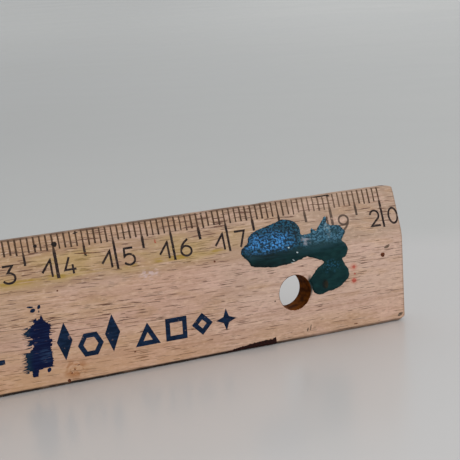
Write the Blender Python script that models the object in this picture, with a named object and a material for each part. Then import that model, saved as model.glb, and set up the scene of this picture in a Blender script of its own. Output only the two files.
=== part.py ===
"""Wooden school ruler with a 200 mm scale, standing on its long lower edge.

Frame: X runs along the scale, the graduated front looks towards -Y, and Z is up. The origin is
the centre of the wood's lower edge. The blank is one piece of beech with a bevelled upper edge
and a hanging hole. The graduations, the numerals, the navy ornaments and the paint are thin
layers on its front. Two empties carry them: bevel_plane lies on the bevel and face_plane on the
flat face. In both, local X runs along the scale from its zero, local Y runs up the surface and
local Z points out of the wood.
"""
import math

import bmesh
import bpy
from mathutils import Vector

# The blank.
SCALE_LENGTH = 0.200
END_MARGIN = 0.0033
LENGTH = SCALE_LENGTH + 2 * END_MARGIN
HEIGHT = 0.024
THICKNESS = 0.004
BEVEL_HEIGHT = 0.0084
BEVEL_DEPTH = 0.0029
CREASE_Z = HEIGHT - BEVEL_HEIGHT
BEVEL_WIDTH = math.hypot(BEVEL_HEIGHT, BEVEL_DEPTH)
BEVEL_LEAN = math.atan2(BEVEL_DEPTH, BEVEL_HEIGHT)
CREASE_SOFTNESS = 0.0012
CORNER_RADIUS = 0.0007
EDGE_RADIUS = 0.00025

# The hanging hole, measured along the scale and up from the lower edge.
HOLE_AT = 0.1814
HOLE_Z = 0.0084
HOLE_RADIUS = 0.003
HOLE_SEGMENTS = 48

# The layers on the front: each lies just clear of what is under it.
LAYER_GAP = 0.00003
INK_THICKNESS = 0.00007
PAINT_LIFT = 2 * LAYER_GAP + INK_THICKNESS
PAINT_THICKNESS = 0.00022

# The graduations: each line runs down the bevel from the upper edge. The lines of the
# centimetres and half centimetres are bolder below the millimetre lines.
MILLIMETRE = 0.001
LINE_TOP = 0.0003
JOIN_HEIGHT = 0.00012
MM_LINE = 0.0026
HALF_LINE = 0.0044
CM_LINE = 0.0072
FINE_WIDTH = 0.0002
BOLD_WIDTH = 0.00036

# The numerals: one digit each side of a centimetre line.
DIGIT_WIDTH = 0.00185
DIGIT_HEIGHT = 0.0027
DIGIT_STROKE = 0.0003
DIGIT_DROP = 0.0068
RIGHT_DIGIT = 0.00128
LEFT_DIGIT = -0.00248
ARC_STEP = math.radians(24)

# The navy ornaments: a row on the flat face.
ORNAMENT_BASE = 0.0040
ORNAMENT_SIZE = 0.0038
ORNAMENT_STROKE = 0.0008
LOZENGE_WIDTH = 0.0026
LOZENGE_HEIGHT = 0.0062
STAR_WAIST = 0.38
DASH_LENGTH = 0.0020
DASH_HEIGHT = 0.0008
DASH_Z = 0.0051
DASH_AT = 0.1280

# Points closer than this count as one place.
NEAR = 0.000001

# Colours as red, green and blue, then roughness.
BEECH = ((0.62, 0.42, 0.27), 0.55)
BLACK_INK = ((0.03, 0.025, 0.02), 0.6)
NAVY_INK = ((0.012, 0.035, 0.11), 0.55)
TEAL_PAINT = ((0.01, 0.12, 0.14), 0.3)
BROWN_STAIN = ((0.05, 0.012, 0.012), 0.5)


def remove_everything():
    for thing in list(bpy.data.objects):
        bpy.data.objects.remove(thing, do_unlink=True)


def make_material(name, look):
    """A plain Principled material from a colour and a roughness."""
    colour, roughness = look
    material = bpy.data.materials.new(name)
    material.use_nodes = True
    shader = material.node_tree.nodes["Principled BSDF"]
    shader.inputs["Base Color"].default_value = (*colour, 1.0)
    shader.inputs["Roughness"].default_value = roughness
    shader.inputs["Metallic"].default_value = 0.0
    material.diffuse_color = (*colour, 1.0)
    return material


def add_object(name, mesh, material=None):
    thing = bpy.data.objects.new(name, mesh)
    bpy.context.scene.collection.objects.link(thing)
    if material and not mesh.materials:
        mesh.materials.append(material)
    return thing


def mesh_from(bm, name):
    bmesh.ops.recalc_face_normals(bm, faces=bm.faces)
    mesh = bpy.data.meshes.new(name)
    bm.to_mesh(mesh)
    bm.free()
    return mesh


# The blank


def profile_edges(bm, y, z):
    """The edges that run along X at the place (y, z) of the cross-section."""
    return [edge for edge in bm.edges
            if all(abs(v.co.y - y) < NEAR and abs(v.co.z - z) < NEAR for v in edge.verts)]


def end_corner_edges(bm):
    """The four short edges across the thickness at the ends' upper and lower corners."""
    return [edge for edge in bm.edges
            if all(v.co.z < NEAR or v.co.z > HEIGHT - NEAR for v in edge.verts)
            and abs(edge.verts[0].co.x - edge.verts[1].co.x) < NEAR
            and abs(edge.verts[0].co.z - edge.verts[1].co.z) < NEAR]


def blank_mesh():
    """The cross-section drawn out along X, with a soft crease and rounded end corners."""
    front = -THICKNESS / 2
    back = THICKNESS / 2
    section = [(front, 0.0), (front, CREASE_Z), (front + BEVEL_DEPTH, HEIGHT), (back, HEIGHT), (back, 0.0)]
    bm = bmesh.new()
    left_end = bm.faces.new([bm.verts.new((-LENGTH / 2, y, z)) for y, z in section])
    drawn = bmesh.ops.extrude_face_region(bm, geom=[left_end])
    moved = [item for item in drawn["geom"] if isinstance(item, bmesh.types.BMVert)]
    bmesh.ops.translate(bm, verts=moved, vec=(LENGTH, 0, 0))
    bmesh.ops.bevel(bm, geom=end_corner_edges(bm), offset=CORNER_RADIUS, segments=3,
                    profile=0.5, affect="EDGES")
    bmesh.ops.bevel(bm, geom=profile_edges(bm, front, CREASE_Z), offset=CREASE_SOFTNESS, segments=3,
                    profile=0.5, affect="EDGES")
    return mesh_from(bm, "beech_blank")


def hole_cutter():
    bm = bmesh.new()
    bmesh.ops.create_cone(bm, cap_ends=True, segments=HOLE_SEGMENTS, radius1=HOLE_RADIUS,
                          radius2=HOLE_RADIUS, depth=3 * THICKNESS)
    cutter = add_object("hole_cutter", mesh_from(bm, "hole_cutter"))
    cutter.rotation_euler.x = math.radians(90)
    cutter.location = (HOLE_AT - SCALE_LENGTH / 2, 0, HOLE_Z)
    cutter.hide_render = True
    cutter.display_type = "WIRE"
    return cutter


def build_blank():
    blank = add_object("beech_blank", blank_mesh(), make_material("beech", BEECH))
    bore = blank.modifiers.new("hanging_hole", "BOOLEAN")
    bore.operation = "DIFFERENCE"
    bore.solver = "EXACT"
    bore.object = hole_cutter()
    rounding = blank.modifiers.new("worn_edges", "BEVEL")
    rounding.width = EDGE_RADIUS
    rounding.segments = 2
    rounding.limit_method = "ANGLE"
    rounding.angle_limit = math.radians(40)
    blank.data.shade_smooth()
    blank.data.set_sharp_from_angle(angle=math.radians(25))


# The planes that carry the layers


def build_plane(name, y, z, lean):
    """An empty at the scale's zero, with Y up a surface that leans back from the vertical."""
    plane = bpy.data.objects.new(name, None)
    bpy.context.scene.collection.objects.link(plane)
    plane.location = (-SCALE_LENGTH / 2, y, z)
    plane.rotation_euler.x = math.radians(90) - lean
    return plane


def place(thing, plane, x, y, lift):
    thing.parent = plane
    thing.location = (x, y, lift)


# Flat outlines


def arc(centre, radii, start, stop):
    """Points along an elliptical arc; the angles are in degrees, anticlockwise from +X."""
    first = math.radians(start)
    sweep = math.radians(stop - start)
    steps = max(2, round(abs(sweep) / ARC_STEP))
    angles = [first + sweep * step / steps for step in range(steps + 1)]
    return [Vector((centre[0] + radii[0] * math.cos(angle), centre[1] + radii[1] * math.sin(angle)))
            for angle in angles]


def offset_point(before, point, after, distance):
    """The point moved sideways by a distance, with a mitre where the line turns."""
    directions = [(b - a).normalized() for a, b in ((before, point), (point, after)) if (b - a).length > 0]
    normals = [Vector((-d.y, d.x)) for d in directions]
    mitre = sum(normals, Vector((0, 0))).normalized()
    return point + mitre * (distance / mitre.dot(normals[0]))


def stroke(points, width):
    """The outline of a pen stroke along an open line, or its two outlines round a closed one."""
    closed = points[0] == points[-1]
    padded = [points[-2], *points[:-1], points[0]] if closed else [points[0], *points, points[-1]]
    triples = list(zip(padded, padded[1:], padded[2:]))
    left = [offset_point(*triple, width / 2) for triple in triples]
    right = [offset_point(*triple, -width / 2) for triple in triples]
    return [left, right] if closed else [left + right[::-1]]


def ring(centre, outer, width, sides, turn=0.0):
    """A regular ring of straight sides: its outer and its inner outline."""
    loops = []
    for radius in (outer, outer - width):
        angles = [math.radians(turn) + 2 * math.pi * side / sides for side in range(sides)]
        loops.append([Vector((centre[0] + radius * math.cos(angle), centre[1] + radius * math.sin(angle)))
                      for angle in angles])
    return loops


def plate_bmesh(loops, thickness):
    """A flat plate from one outer outline and any inner ones, standing on its local XY plane."""
    bm = bmesh.new()
    for loop in loops:
        corners = [bm.verts.new((point[0], point[1], 0)) for point in loop]
        for here, there in zip(corners, corners[1:] + corners[:1]):
            bm.edges.new((here, there))
    bmesh.ops.triangle_fill(bm, use_beauty=True, use_dissolve=False, edges=bm.edges[:])
    raised = bmesh.ops.extrude_face_region(bm, geom=bm.faces[:])
    moved = [item for item in raised["geom"] if isinstance(item, bmesh.types.BMVert)]
    bmesh.ops.translate(bm, verts=moved, vec=(0, 0, thickness))
    return bm


def plate_mesh(name, loops, thickness=INK_THICKNESS):
    return mesh_from(plate_bmesh(loops, thickness), name)


# The graduations


def line_steps(millimetre):
    """The steps of one line from the upper edge down: how far it reaches and how wide it is."""
    if millimetre % 10 == 0:
        return [(MM_LINE, FINE_WIDTH), (CM_LINE, BOLD_WIDTH)]
    if millimetre % 5 == 0:
        return [(MM_LINE, FINE_WIDTH), (HALF_LINE, BOLD_WIDTH)]
    return [(MM_LINE, FINE_WIDTH)]


def scale_outline():
    """A comb: a narrow strip under the upper edge with a tooth for each millimetre."""
    root = -LINE_TOP - JOIN_HEIGHT
    outline = []
    for millimetre in range(round(SCALE_LENGTH / MILLIMETRE) + 1):
        x = millimetre * MILLIMETRE
        left = []
        right = []
        start = root
        for reach, width in line_steps(millimetre):
            left += [Vector((x - width / 2, start)), Vector((x - width / 2, -reach))]
            right += [Vector((x + width / 2, start)), Vector((x + width / 2, -reach))]
            start = -reach
        outline += left + right[::-1]
    # The outer sides of the first and the last tooth run on up the ends of the strip.
    outline[0].y = -LINE_TOP
    outline[-1].y = -LINE_TOP
    return [outline]


def build_scale(bevel_plane, ink):
    comb = add_object("scale_graduations", plate_mesh("scale_graduations", scale_outline()), ink)
    place(comb, bevel_plane, 0, 0, LAYER_GAP)


# The numerals


def oval(centre, radii):
    """A closed elliptical line: its last point is its first."""
    line = arc(centre, radii, 0, 360)
    return [*line[:-1], line[0]]


def fitted(points):
    """Points drawn in a box of one by one, in the size of a digit."""
    return [Vector((point[0] * DIGIT_WIDTH, point[1] * DIGIT_HEIGHT)) for point in points]


def digit_lines(digit):
    """The pen lines of a digit in a box of one by one."""
    if digit == 0:
        return [oval((0.5, 0.5), (0.5, 0.5))]
    if digit == 1:
        return [[(0.0, 0.3), (0.85, 1.0), (0.85, 0.0)]]
    if digit == 2:
        return [arc((0.5, 0.68), (0.46, 0.32), 170, -35) + [(0.0, 0.0), (1.0, 0.0)]]
    if digit == 3:
        return [[(0.02, 1.0), (0.9, 1.0), (0.4, 0.6)] + arc((0.45, 0.3), (0.55, 0.3), 75, -155)]
    if digit == 4:
        return [[(0.5, 1.0), (0.0, 0.27), (1.0, 0.27)], [(0.72, 0.55), (0.72, 0.0)]]
    if digit == 5:
        return [[(0.95, 1.0), (0.15, 1.0), (0.08, 0.52)] + arc((0.48, 0.32), (0.52, 0.32), 115, -150)]
    if digit == 6:
        return [oval((0.5, 0.3), (0.5, 0.3)), [(0.78, 1.0), (0.4, 0.82), (0.13, 0.6), (0.02, 0.38)]]
    if digit == 7:
        return [[(0.0, 1.0), (1.0, 1.0), (0.4, 0.0)]]
    if digit == 8:
        return [oval((0.5, 0.28), (0.5, 0.28)), oval((0.5, 0.78), (0.4, 0.23))]
    return [oval((0.5, 0.7), (0.5, 0.3)), [(0.22, 0.0), (0.6, 0.18), (0.87, 0.4), (0.98, 0.62)]]


def digit_mesh(digit, ink):
    """A digit as one solid: its pen lines, joined where they cross."""
    parts = []
    for line in digit_lines(digit):
        name = f"pen_line_{digit}"
        parts.append(add_object(name, plate_mesh(name, stroke(fitted(line), DIGIT_STROKE)), ink))
    for other in parts[1:]:
        join = parts[0].modifiers.new("join", "BOOLEAN")
        join.operation = "UNION"
        join.solver = "EXACT"
        join.object = other
    seen = parts[0].evaluated_get(bpy.context.evaluated_depsgraph_get())
    mesh = bpy.data.meshes.new_from_object(seen)
    mesh.name = f"digit_{digit}"
    for part in parts:
        bpy.data.objects.remove(part, do_unlink=True)
    return mesh


def build_numerals(bevel_plane, ink):
    """The numbers of the centimetres: tens left of the line, units right of it."""
    meshes = [digit_mesh(digit, ink) for digit in range(10)]
    for number in range(1, 21):
        x = number * 10 * MILLIMETRE
        units = add_object(f"numeral_{number:02d}_units", meshes[number % 10])
        place(units, bevel_plane, x + RIGHT_DIGIT, -DIGIT_DROP, LAYER_GAP)
        if number >= 10:
            tens = add_object(f"numeral_{number:02d}_tens", meshes[number // 10])
            place(tens, bevel_plane, x + LEFT_DIGIT, -DIGIT_DROP, LAYER_GAP)


# The navy ornaments


def lozenge():
    side = LOZENGE_WIDTH / 2
    return [[(0, 0), (side, LOZENGE_HEIGHT / 2), (0, LOZENGE_HEIGHT), (-side, LOZENGE_HEIGHT / 2)]]


def dash():
    return [[(0, 0), (DASH_LENGTH, 0), (DASH_LENGTH, DASH_HEIGHT), (0, DASH_HEIGHT)]]


def ornament_ring(sides, turn):
    """A ring that stands on the base line and is as high as the row."""
    lowest = min(math.sin(math.radians(turn) + 2 * math.pi * side / sides) for side in range(sides))
    highest = max(math.sin(math.radians(turn) + 2 * math.pi * side / sides) for side in range(sides))
    outer = ORNAMENT_SIZE / (highest - lowest)
    width = ORNAMENT_STROKE / math.cos(math.pi / sides)
    return ring((0, -lowest * outer), outer, width, sides, turn)


def star():
    """A four-pointed star."""
    middle = ORNAMENT_SIZE / 2
    radii = (middle, middle * STAR_WAIST)
    return [[(radii[corner % 2] * math.sin(corner * math.pi / 4),
              middle + radii[corner % 2] * math.cos(corner * math.pi / 4)) for corner in range(8)]]


def build_ornaments(face_plane, ink):
    triangle = ornament_ring(3, 90)
    square = ornament_ring(4, 45)
    diamond = ornament_ring(4, 0)
    hexagon = ornament_ring(6, 0)
    row = [(98.0, "star", star()), (102.7, "diamond", diamond), (107.4, "square", square),
           (112.5, "triangle", triangle), (117.0, "lozenge", lozenge()), (120.8, "hexagon", hexagon),
           (125.1, "lozenge", lozenge()), (139.9, "lozenge", lozenge()), (144.2, "hexagon", hexagon),
           (148.0, "lozenge", lozenge()), (154.0, "triangle", triangle), (159.1, "square", square),
           (163.8, "diamond", diamond), (168.2, "star", star())]
    for number, (x, shape, loops) in enumerate(row, start=1):
        name = f"ornament_{number:02d}_{shape}"
        ornament = add_object(name, plate_mesh(name, loops), ink)
        place(ornament, face_plane, x * MILLIMETRE, ORNAMENT_BASE, LAYER_GAP)
    rule = add_object("ornament_dash", plate_mesh("ornament_dash", dash()), ink)
    place(rule, face_plane, DASH_AT, DASH_Z, LAYER_GAP)


# Smears, spills and stains


def millimetres(points):
    return [(x * MILLIMETRE, y * MILLIMETRE) for x, y in points]


def build_smear(face_plane, ink):
    """Navy ink dragged across the start of the row, and a small splash above it."""
    smear = [(134.1, 2.3), (134.9, 2.1), (135.2, 3.3), (136.7, 2.9), (137.1, 2.6), (137.7, 3.3),
             (137.9, 4.3), (137.8, 5.8), (137.6, 6.9), (138.4, 7.2), (137.6, 7.8), (137.6, 8.4),
             (137.7, 9.6), (138.0, 10.2), (137.2, 10.6), (136.8, 11.3), (136.4, 12.0), (136.0, 11.4),
             (135.3, 11.2), (134.4, 10.4), (133.7, 9.7), (133.4, 9.2), (134.7, 8.4), (134.0, 7.9),
             (134.7, 7.2), (134.5, 6.7), (132.8, 6.1), (133.1, 5.2), (133.4, 4.2), (133.3, 3.7),
             (134.2, 3.2)]
    splash = [(134.3, 13.5), (134.8, 12.9), (135.3, 12.5), (135.9, 12.7), (136.4, 13.5), (135.4, 13.4)]
    for name, points in (("ink_smear", smear), ("ink_splash", splash)):
        place(add_object(name, plate_mesh(name, [millimetres(points)]), ink), face_plane, 0, 0, LAYER_GAP)


def build_edge_stain(face_plane, stain):
    """A dark stain that thickens along the lower edge and stops short at its right end."""
    outline = [(168.0, 0.3), (177.4, 0.3), (177.4, 1.2), (175.6, 1.0), (173.0, 0.9), (170.5, 0.6)]
    mark = add_object("edge_stain", plate_mesh("edge_stain", [millimetres(outline)]), stain)
    place(mark, face_plane, 0, 0, LAYER_GAP)


def paint_outline():
    """The spill's outline: x along the scale and y up the face, then on up the bevel."""
    return millimetres([
        (171.8, 16.8), (172.4, 17.5), (173.3, 18.1), (173.6, 19.0), (174.8, 19.8), (176.1, 20.2),
        (177.5, 20.5), (179.2, 20.9), (180.5, 21.2), (182.0, 20.9), (182.9, 20.4), (183.5, 19.3),
        (183.5, 18.2), (185.2, 18.2), (185.7, 19.0), (186.5, 18.5), (187.7, 19.7), (188.8, 20.7),
        (188.9, 19.4), (189.6, 19.0), (191.0, 18.8), (191.8, 18.0), (192.0, 17.4), (191.1, 16.2),
        (191.7, 15.5), (192.1, 14.5), (191.6, 13.3), (190.9, 12.9), (191.5, 11.8), (192.1, 10.6),
        (192.0, 9.5), (191.0, 8.6), (189.5, 7.8), (187.7, 7.6), (186.6, 7.3), (185.2, 7.7),
        (184.8, 8.7), (184.7, 9.4), (184.3, 10.0), (184.9, 10.8), (185.8, 11.8), (187.1, 12.7),
        (187.1, 13.1), (185.9, 13.6), (184.8, 14.0), (184.0, 14.3), (182.4, 13.9), (180.3, 13.5),
        (177.9, 13.6), (175.5, 13.9), (173.6, 14.3), (172.9, 15.4), (172.1, 16.1)])


def build_paint(face_plane, paint):
    """The teal spill, bent over the crease so that it follows both surfaces."""
    bm = plate_bmesh([paint_outline()], PAINT_THICKNESS)
    bmesh.ops.bisect_plane(bm, geom=bm.verts[:] + bm.edges[:] + bm.faces[:], dist=NEAR,
                           plane_co=(0, CREASE_Z, 0), plane_no=(0, 1, 0))
    for vertex in bm.verts:
        lift = vertex.co.z + PAINT_LIFT
        up = vertex.co.y - CREASE_Z
        vertex.co.z = lift
        if up > NEAR:
            vertex.co.y = CREASE_Z + up * math.cos(BEVEL_LEAN) + lift * math.sin(BEVEL_LEAN)
            vertex.co.z = lift * math.cos(BEVEL_LEAN) - up * math.sin(BEVEL_LEAN)
        elif up > -NEAR:
            vertex.co.y = CREASE_Z + lift * math.tan(BEVEL_LEAN / 2)
    spill = add_object("paint_spill", mesh_from(bm, "paint_spill"), paint)
    place(spill, face_plane, 0, 0, 0)


def main():
    remove_everything()
    build_blank()
    bevel_plane = build_plane("bevel_plane", -THICKNESS / 2 + BEVEL_DEPTH, HEIGHT, BEVEL_LEAN)
    face_plane = build_plane("face_plane", -THICKNESS / 2, 0, 0)
    black = make_material("black_ink", BLACK_INK)
    navy = make_material("navy_ink", NAVY_INK)
    build_scale(bevel_plane, black)
    build_numerals(bevel_plane, black)
    build_ornaments(face_plane, navy)
    build_smear(face_plane, navy)
    build_edge_stain(face_plane, make_material("brown_stain", BROWN_STAIN))
    build_paint(face_plane, make_material("teal_paint", TEAL_PAINT))


main()
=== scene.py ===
import random
from math import atan2, ceil, cos, exp, hypot, pi, radians, sin, sqrt, tan

import bmesh
import bpy
import numpy as np
from mathutils import Matrix, Vector, geometry, noise


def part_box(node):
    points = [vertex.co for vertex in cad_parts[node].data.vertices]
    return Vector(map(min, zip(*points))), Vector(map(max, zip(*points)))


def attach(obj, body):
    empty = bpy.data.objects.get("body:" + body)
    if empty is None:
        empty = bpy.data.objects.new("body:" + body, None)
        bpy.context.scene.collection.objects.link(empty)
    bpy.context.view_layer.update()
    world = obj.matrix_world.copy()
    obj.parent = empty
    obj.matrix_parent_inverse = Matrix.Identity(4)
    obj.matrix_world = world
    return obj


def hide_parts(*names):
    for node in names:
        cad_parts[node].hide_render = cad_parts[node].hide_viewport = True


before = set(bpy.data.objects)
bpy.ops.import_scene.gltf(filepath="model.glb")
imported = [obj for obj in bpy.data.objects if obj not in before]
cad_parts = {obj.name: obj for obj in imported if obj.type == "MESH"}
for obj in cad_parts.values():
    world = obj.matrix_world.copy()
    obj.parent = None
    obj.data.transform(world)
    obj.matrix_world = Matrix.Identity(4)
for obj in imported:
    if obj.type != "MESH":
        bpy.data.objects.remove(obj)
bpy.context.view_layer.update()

# Lengths below are in millimetres, in the ruler's own terms: x is read on the scale, and up is
# measured from the lower edge along the front's surface, over the crease and on up the bevel.
# place() turns them into the frame's metres.
MM = 0.001

# The wood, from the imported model.
WOOD_LOW, WOOD_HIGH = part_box("beech_blank")
SCALE_LOW, SCALE_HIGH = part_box("scale_graduations")
SCALE_ZERO = (SCALE_LOW[0] + SCALE_HIGH[0]) / 2 - 100 * MM
LEFT_END = (WOOD_LOW[0] - SCALE_ZERO) / MM
RIGHT_END = (WOOD_HIGH[0] - SCALE_ZERO) / MM
FRONT = WOOD_LOW[1] / MM
BACK = WOOD_HIGH[1] / MM
HEIGHT = WOOD_HIGH[2] / MM

# The cross-section's other sizes.
BEVEL_HEIGHT = 8.4
BEVEL_DEPTH = 2.9
CREASE = HEIGHT - BEVEL_HEIGHT
CREASE_SOFTNESS = 1.2
LEAN = atan2(BEVEL_DEPTH, BEVEL_HEIGHT)
TOP = CREASE + hypot(BEVEL_HEIGHT, BEVEL_DEPTH)
LOWER_ROUNDING = 0.32
UPPER_ROUNDING = 0.28
END_ROUNDING = 0.25
HOLE_X = 181.4
HOLE_Z = 8.4
HOLE_RADIUS = 3.0
HOLE_FLARE = 0.12

# The marks.
MM_LINE = 2.6
HALF_LINE = 4.4
CM_LINE = 7.2
FINE_WIDTH = 0.27
BOLD_WIDTH = 0.44
DIGIT_WIDTH = 1.85
DIGIT_HEIGHT = 2.7
DIGIT_STROKE = 0.35
DIGIT_DROP = 6.8
RIGHT_DIGIT = 1.28
LEFT_DIGIT = -2.48
ROW_BASE = 4.0
ROW_SIZE = 3.8
ROW_STROKE = 0.8
STAR_WAIST = 0.38
LOZENGE_WIDTH = 2.6
LOZENGE_HEIGHT = 6.2

# How far the prints stand proud of the wood, and how far they reach into it.
INK_LIFT = 0.02
SMEAR_LIFT = 0.03
MARK_LIFT = 0.025
ON_PAINT_LIFT = 0.32
SUNK = -0.06

# The camera: where it stands in metres, and how it is turned in degrees.
CAMERA_AT = (-0.02626, -0.20441, 0.06516)
CAMERA_YAW = 25.4
CAMERA_PITCH = 11.18
CAMERA_ROLL = 3.38
CAMERA_LENS = 108.4

# The table: its height in metres, and how far its soft step and painted shade are turned from the ruler, the
# same turn as the camera's yaw.
FLOOR_HEIGHT = -0.00002
FLOOR_HALF = 6.0
TABLE_TURN = 25.4

# The wood's mesh: its spacing along the scale, and the band along the long edges that has closer rows.
STATION_PITCH = 0.33
EDGE_BAND = 1.2


def smooth_step(low, high, value):
    share = min(1.0, max(0.0, (value - low) / (high - low)))
    return share * share * (3 - 2 * share)


def wander(seed, value, pitch):
    """A smooth random line between about -1 and 1 that turns every pitch or so."""
    return noise.noise(Vector((value / pitch, seed * 17.3, seed * 5.1)))


# The front's surface


def front_frame(up):
    """Where the front is at a height along its surface: y, z and how far its normal leans up."""
    if up < LOWER_ROUNDING:
        angle = -pi / 4 * (1 - up / LOWER_ROUNDING)
        centre = (FRONT + LOWER_ROUNDING, LOWER_ROUNDING)
        y = centre[0] - LOWER_ROUNDING * cos(angle)
        return y, centre[1] + LOWER_ROUNDING * sin(angle), angle
    if up < CREASE - CREASE_SOFTNESS:
        return FRONT, up, 0.0
    if up < CREASE + CREASE_SOFTNESS:
        radius = CREASE_SOFTNESS / tan(LEAN / 2)
        angle = LEAN * (up - CREASE + CREASE_SOFTNESS) / (2 * CREASE_SOFTNESS)
        y = FRONT + radius * (1 - cos(angle))
        return y, CREASE - CREASE_SOFTNESS + radius * sin(angle), angle
    turn = pi / 2 - LEAN
    tangent = UPPER_ROUNDING * tan(turn / 2)
    flat = min(up, TOP - tangent) - CREASE
    y = FRONT + flat * sin(LEAN)
    z = CREASE + flat * cos(LEAN)
    if up <= TOP - tangent:
        return y, z, LEAN
    angle = LEAN + turn / 2 * min(1.0, (up - TOP + tangent) / tangent)
    y += UPPER_ROUNDING * (cos(LEAN) - cos(angle))
    z += UPPER_ROUNDING * (sin(angle) - sin(LEAN))
    return y, z, angle


# Knocks on the long edges: which edge, where on the scale, how wide and how deep.
KNOCKS = [("top", 188.6, 1.7, 0.16), ("top", 163.0, 1.1, 0.10), ("top", 151.5, 0.8, 0.08),
          ("top", 121.0, 1.6, 0.14), ("top", 96.5, 0.9, 0.10), ("top", 64.0, 2.2, 0.15),
          ("top", 33.0, 1.2, 0.12), ("top", 8.0, 1.5, 0.16), ("low", 200.8, 1.0, 0.14),
          ("low", 172.0, 2.5, 0.10), ("low", 141.0, 0.7, 0.12), ("low", 110.0, 1.5, 0.12),
          ("low", 71.0, 1.2, 0.10), ("low", 25.0, 1.8, 0.15), ("top_back", 176.0, 1.3, 0.14),
          ("top_back", 84.0, 1.9, 0.16), ("low_back", 132.0, 1.6, 0.15), ("low_back", 48.0, 1.1, 0.14)]
EDGES = {"low": (FRONT, 0.0), "low_back": (BACK, 0.0), "top_back": (BACK, HEIGHT),
         "top": (FRONT + BEVEL_DEPTH, HEIGHT)}
EDGE_REACH = 0.45


def wear(x, y, z):
    """How much the wood has lost at a place: only along the long edges."""
    lost = 0.0
    for seed, (edge, (edge_y, edge_z)) in enumerate(EDGES.items()):
        near = exp(-hypot(y - edge_y, z - edge_z) / EDGE_REACH)
        if near < 0.02:
            continue
        rub = 0.05 + 0.05 * wander(seed + 1, x, 9.0) + 0.035 * wander(seed + 7, x, 1.3)
        for where, at, width, depth in KNOCKS:
            if where == edge:
                rub += depth * exp(-((x - at) / width) ** 2)
        lost += near * max(0.0, rub)
    return lost


# Corners seen from the front: how far in from the end and how deep each is rounded.
CORNERS = {"right_top": (1.9, 0.35), "right_low": (1.3, 0.6),
           "left_top": (1.9, 0.7), "left_low": (1.5, 0.65)}
CORNER_ZONE = 2.2
CORNER_CURVE = 1.35


def corner_drop(inside, reach, depth):
    """How far a long edge has dropped at a distance inside the end."""
    share = min(1.0, max(0.0, (reach - inside) / reach))
    return depth * share ** CORNER_CURVE


def round_corners(x, z):
    """A height after the corners have dropped or risen there."""
    near_top = smooth_step(HEIGHT - CORNER_ZONE, HEIGHT, z)
    near_low = 1 - smooth_step(0, CORNER_ZONE, z)
    drop = rise = 0.0
    for side, inside in (("left", x - LEFT_END), ("right", RIGHT_END - x)):
        drop += corner_drop(inside, *CORNERS[side + "_top"]) * near_top
        rise += corner_drop(inside, *CORNERS[side + "_low"]) * near_low
    return z - drop + rise


def drawn_in(x):
    """How far the section shrinks on the rounding round each end."""
    inside = min(END_ROUNDING, max(0.0, min(x - LEFT_END, RIGHT_END - x)))
    return END_ROUNDING - sqrt(END_ROUNDING ** 2 - (END_ROUNDING - inside) ** 2)


def settle(x, y, z, angle, lift=0.0):
    """A point of the section after wear and rounding, or a lift above it, in the frame's metres."""
    drawn = drawn_in(x)
    out = lift - drawn - wear(x, y, z) * (1 - drawn / END_ROUNDING)
    new_z = round_corners(x, z + out * sin(angle))
    return Vector((SCALE_ZERO + x * MM, (y - out * cos(angle)) * MM, new_z * MM))


def place(x, up, lift=0.0):
    """A place on the worn front."""
    return settle(x, *front_frame(up), lift)


# Making objects


def add_object(name, data):
    thing = bpy.data.objects.new(name, data)
    bpy.context.scene.collection.objects.link(thing)
    return thing


def new_piece(name, mesh, material, replaces=(), sharp=30):
    thing = add_object(name, mesh)
    mesh.materials.append(material)
    mesh.shade_smooth()
    mesh.set_sharp_from_angle(angle=radians(sharp))
    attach(thing, "root")
    if replaces:
        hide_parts(*replaces)


def mesh_from(bm, name):
    bmesh.ops.recalc_face_normals(bm, faces=bm.faces)
    mesh = bpy.data.meshes.new(name)
    bm.to_mesh(mesh)
    bm.free()
    return mesh


# The wooden body


def rounding(centre, radius, start, stop, steps):
    """Points round an edge with their outward normals; angles turn from -Y up to +Z and on."""
    angles = [start + (stop - start) * step / steps for step in range(steps + 1)]
    return [(centre[0] - radius * cos(a), centre[1] + radius * sin(a), a) for a in angles]


def section():
    """The cross-section as a closed loop of (y, z, lean of the normal)."""
    flat = CREASE - CREASE_SOFTNESS - LOWER_ROUNDING - EDGE_BAND
    slope = TOP - CREASE - CREASE_SOFTNESS - EDGE_BAND
    stretches = ((0.0, LOWER_ROUNDING, 3), (LOWER_ROUNDING, EDGE_BAND, 4),
                 (LOWER_ROUNDING + EDGE_BAND, flat, 10), (CREASE - CREASE_SOFTNESS, 2 * CREASE_SOFTNESS, 10),
                 (CREASE + CREASE_SOFTNESS, slope, 6), (TOP - EDGE_BAND, EDGE_BAND, 8))
    loop = [front_frame(start + length * step / steps)
            for start, length, steps in stretches for step in range(steps)]
    loop.append(front_frame(TOP))
    turn = pi / 2 - LEAN
    land = FRONT + BEVEL_DEPTH + UPPER_ROUNDING * tan(turn / 2)
    high = HEIGHT - UPPER_ROUNDING
    inner = BACK - UPPER_ROUNDING
    loop += rounding((land, high), UPPER_ROUNDING, LEAN + turn / 2, pi / 2, 3)[1:]
    loop.append(((land + inner) / 2, HEIGHT, pi / 2))
    loop += rounding((inner, high), UPPER_ROUNDING, pi / 2, pi, 4)
    tall = high - LOWER_ROUNDING
    shares = (0.02, 0.05, 0.1, 0.3, 0.5, 0.7, 0.9, 0.95, 0.98)
    loop += [(BACK, high - tall * share, pi) for share in shares]
    loop += rounding((BACK - LOWER_ROUNDING, LOWER_ROUNDING), LOWER_ROUNDING, pi, 1.5 * pi, 4)
    wide = BACK - FRONT - 2 * LOWER_ROUNDING
    loop += [(BACK - LOWER_ROUNDING - wide * step / 6, 0.0, 1.5 * pi) for step in range(1, 6)]
    front = (FRONT + LOWER_ROUNDING, LOWER_ROUNDING)
    return loop + rounding(front, LOWER_ROUNDING, 1.5 * pi, 1.75 * pi, 3)[:-1]


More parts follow.
